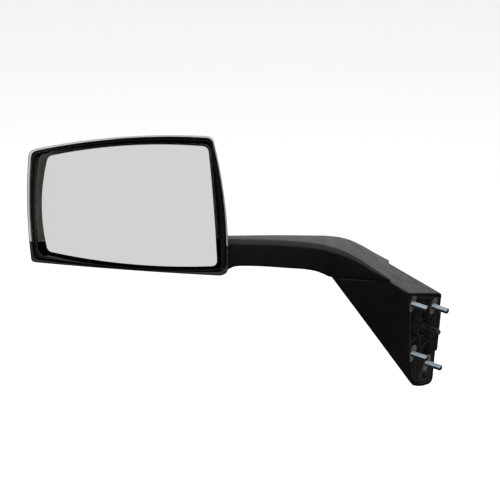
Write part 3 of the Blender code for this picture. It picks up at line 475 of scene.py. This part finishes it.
def make_arm():
    shape = bmesh.new()
    rows = loft(shape, arm_rings(0, 9, 6))
    shape.faces.new(rows[0])
    shape.faces.new(rows[-1])
    arm = add_piece("arm_housing_fine", shape, WORLD, "arm_nylon", 50)
    axis = shift(FOLD_X, 0, 0)
    subtract(arm, cylinder("recess", *DISC_RECESS, axis, 48))
    subtract(arm, cylinder("insert_hole", *INSERT_HOLE, axis, 32))
    return arm


def cylinder(name, radius, low, high, place, segments):
    shape = bmesh.new()
    bmesh.ops.create_cone(
        shape, cap_ends=True, segments=segments, radius1=radius, radius2=radius, depth=high - low,
        matrix=shift(0, 0, (low + high) / 2))
    return add_piece(name, shape, place, "black_nylon")


# ---------------------------------------------------------------- base

def base_ring(inset, share, rim=COVER_RIM, seam_drop=0.5):
    start = [MOUNT @ Vector((p.x, p.y, rim)) for p in outline(FACE_SHAPE, inset)]
    end = [Vector((p.x, p.y, SEAM_Z - seam_drop)) for p in outline(SEAM_SHAPE, inset)]
    return [a.lerp(b, share) for a, b in zip(start, end)]


def make_base_cover(steps=26):
    shape = bmesh.new()
    inner = [base_ring(COVER_WALL, k / steps, seam_drop=0.5 + COVER_WALL) for k in range(steps, -1, -1)]
    lip = [base_ring(COVER_WALL - 0.4, 0, COVER_RIM + 0.3), base_ring(0.8, 0, COVER_RIM + 0.3),
           base_ring(0.2, 0, COVER_RIM)]
    outer = [base_ring(0, k / steps) for k in range(1, steps)]
    top = [base_ring(0, 0.995), base_ring(0.5, 1.0)]
    rows = loft(shape, inner + lip + outer + top)
    shape.faces.new(rows[0])
    shape.faces.new(rows[-1])
    cover = add_piece("base_cover_fine", shape, WORLD, "base_nylon", 40)
    subtract(cover, cylinder("hole", BUSH_RADIUS, 60, 120, shift(FOLD_X, 0, 0), 32))
    return cover


def make_stud(number, spot, segments=28, per_turn=8):
    """Threaded stud: the thread's crest climbs one pitch each turn and fades out at the tip."""
    shape = bmesh.new()
    low, high = -10.5, STUD_PROUD - 0.9
    count = int((high - low) / THREAD_PITCH * per_turn)
    rings = []
    for k in range(count + 1):
        z = low + (high - low) * k / count
        ring = []
        for i in range(segments):
            angle = 2 * math.pi * i / segments
            phase = (z / THREAD_PITCH - i / segments) % 1
            flank = abs(phase - 0.5) * 2
            radius = STUD_RADIUS - THREAD_DEPTH * min(max(flank * 1.3 - 0.15, 0), 1)
            ring.append(Vector((radius * math.cos(angle), radius * math.sin(angle), z)))
        rings.append(ring)
    tip = STUD_RADIUS - THREAD_DEPTH - 0.5
    angles = [2 * math.pi * i / segments for i in range(segments)]
    rings.append([Vector((tip * math.cos(angle), tip * math.sin(angle), STUD_PROUD)) for angle in angles])
    rows = loft(shape, rings)
    shape.faces.new(rows[0])
    shape.faces.new(rows[-1])
    return add_piece(f"hood_stud_fine_{number}", shape, MOUNT @ shift(*spot, 0), "zinc_plate", 50)


# ---------------------------------------------------------------- carried-over CAD pieces

def refined(node, material, bevel):
    """Copy of a CAD node with its flats made whole and its edges rounded."""
    source = frame["nodes"][node]
    shape = bmesh.new()
    shape.from_mesh(source.data)
    bmesh.ops.remove_doubles(shape, verts=shape.verts, dist=0.000002)
    bmesh.ops.dissolve_limit(shape, angle_limit=math.radians(1.0), verts=shape.verts, edges=shape.edges)
    bmesh.ops.scale(shape, vec=(1 / MM,) * 3, verts=shape.verts)
    piece = add_piece(node + "_fine", shape, WORLD, material)
    soften(piece, bevel)
    piece.data.set_sharp_from_angle(angle=math.radians(50))
    return piece


def make_lower_clip():
    """The clip under the glass: thin, and close to the housing, so that the glass clears it."""
    clip = refined("bezel_clip_3", "spring_steel", 0.1)
    lowest = min((HEAD.inverted() @ (vertex.co / MM)).z for vertex in clip.data.vertices)
    thin = Matrix.Diagonal((1, 1, LOWER_CLIP_SHARE, 1))
    move = HEAD @ shift(0, 0, lowest - LOWER_CLIP_DROP) @ thin @ shift(0, 0, -lowest) @ HEAD.inverted()
    for vertex in clip.data.vertices:
        vertex.co = move @ (vertex.co / MM) * MM
    return clip


def dress_cad_nodes():
    """Every CAD node that stays visible gets its finished material."""
    slots = {row["node"]: row["material_slot"] for row in frame["record"]["subparts"]}
    for name, node in frame["nodes"].items():
        node.data.materials.clear()
        node.data.materials.append(MATERIALS[slots[name]])


# ---------------------------------------------------------------- stage

FLOOR_DROP, FLOOR_REACH, FLOOR_SHADE, FLOOR_GLOW = 0.45, 20, (0.92, 0.92, 0.92, 1), 0.06


def make_stage():
    """White floor far below the mirror, with a slight glow of its own."""
    shape = bmesh.new()
    bmesh.ops.create_grid(shape, x_segments=1, y_segments=1, size=FLOOR_REACH)
    mesh = bpy.data.meshes.new("floor")
    shape.to_mesh(mesh)
    shape.free()
    floor = bpy.data.objects.new("floor", mesh)
    floor.location.z = CAD_BOX[0][2] - FLOOR_DROP
    floor.visible_glossy = False
    bpy.context.scene.collection.objects.link(floor)
    material = bpy.data.materials.new("floor")
    material.use_nodes = True
    shader = material.node_tree.nodes["Principled BSDF"]
    shader.inputs["Base Color"].default_value = FLOOR_SHADE
    shader.inputs["Emission Color"].default_value = (1, 1, 1, 1)
    shader.inputs["Emission Strength"].default_value = FLOOR_GLOW
    shader.inputs["Roughness"].default_value = 1.0
    shader.inputs["Specular IOR Level"].default_value = 0.0
    mesh.materials.append(material)


def make_world():
    """White studio, dimmer at both sides; dark below the horizon, which the floor hides from the camera."""
    world = bpy.data.worlds.new("studio")
    bpy.context.scene.world = world
    world.use_nodes = True
    tree = world.node_tree
    background = tree.nodes["Background"]
    background.inputs["Color"].default_value = (1, 1, 1, 1)
    coords = tree.nodes.new("ShaderNodeTexCoord")
    split = tree.nodes.new("ShaderNodeSeparateXYZ")
    tree.links.new(coords.outputs["Generated"], split.inputs["Vector"])
    height = spread(tree, split.outputs["Z"], 0.02, 1.0, -0.03, 0.06)
    sideways = tree.nodes.new("ShaderNodeMath")
    sideways.operation = "ABSOLUTE"
    tree.links.new(split.outputs["X"], sideways.inputs[0])
    sides = spread(tree, sideways.outputs["Value"], 1.0, 0.35, 0.35, 0.9)
    both = tree.nodes.new("ShaderNodeMath")
    both.operation = "MULTIPLY"
    tree.links.new(height, both.inputs[0])
    tree.links.new(sides, both.inputs[1])
    tree.links.new(both.outputs["Value"], background.inputs["Strength"])


def add_light(name, place, target, size, power, in_gloss=False):
    light = bpy.data.lights.new(name, "AREA")
    light.shape = "RECTANGLE"
    light.size, light.size_y = size
    light.energy = power
    lamp = bpy.data.objects.new(name, light)
    bpy.context.scene.collection.objects.link(lamp)
    lamp.location = place
    lamp.visible_glossy = in_gloss
    aim = Vector(target) - Vector(place)
    lamp.rotation_euler = aim.to_track_quat("-Z", "Y").to_euler()


CAMERA_TARGET, CAMERA_DISTANCE, CAMERA_RISE, CAMERA_LENS = (-0.2298, 0.0, 0.1245), 5.98, 20.0, 324.0


def make_camera():
    rise = math.radians(CAMERA_RISE)
    target = Vector(CAMERA_TARGET)
    camera = bpy.data.objects.new("camera", bpy.data.cameras.new("camera"))
    bpy.context.scene.collection.objects.link(camera)
    camera.location = target + Vector((0, -math.cos(rise), math.sin(rise))) * CAMERA_DISTANCE
    camera.rotation_euler = (math.pi / 2 - rise, 0, 0)
    camera.data.lens = CAMERA_LENS
    bpy.context.scene.camera = camera


def main():
    bpy.context.scene.view_settings.view_transform = "Standard"
    make_camera()
    make_stage()
    make_world()
    add_light("top_softbox", (-0.3, 0.3, 1.9), (-0.25, 0.0, 0.0), (2.4, 2.0), 40)
    dress_cad_nodes()
    replacements = [
        (make_shell("chrome_cover_fine", True, "chrome", "shell_inside"), "arm", "chrome_cover", "chrome"),
        (make_shell("lower_housing_fine", False, "black_nylon", "black_nylon"),
         "arm", "lower_housing", "black_nylon"),
        (make_bezel(), "arm", "front_bezel", "black_gloss"),
        (make_arm(), "arm", "arm_housing", "black_nylon"),
        (make_glass(), "glass", "mirror_glass", "mirror_glass"),
        (make_lower_clip(), "arm", "bezel_clip_3", "spring_steel"),
        (make_base_cover(), "base", "base_cover", "black_nylon"),
        (refined("base_rib_core", "core_nylon", 0.35), "base", "base_rib_core", "black_nylon"),
        (refined("locating_peg", "core_nylon", 0.4), "base", "locating_peg", "black_nylon"),
    ]
    for number, spot in enumerate(STUD_SPOTS, 1):
        replacements.append((make_stud(number, spot), "base", f"hood_stud_{number}", "zinc_plate"))
        replacements.append(
            (refined(f"stud_pad_{number}", "grey_pad", 0.5), "base", f"stud_pad_{number}", "grey_pad"))
    for piece, body, node, slot in replacements:
        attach(piece, body)
        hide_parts(node)
    bpy.context.view_layer.update()


main()
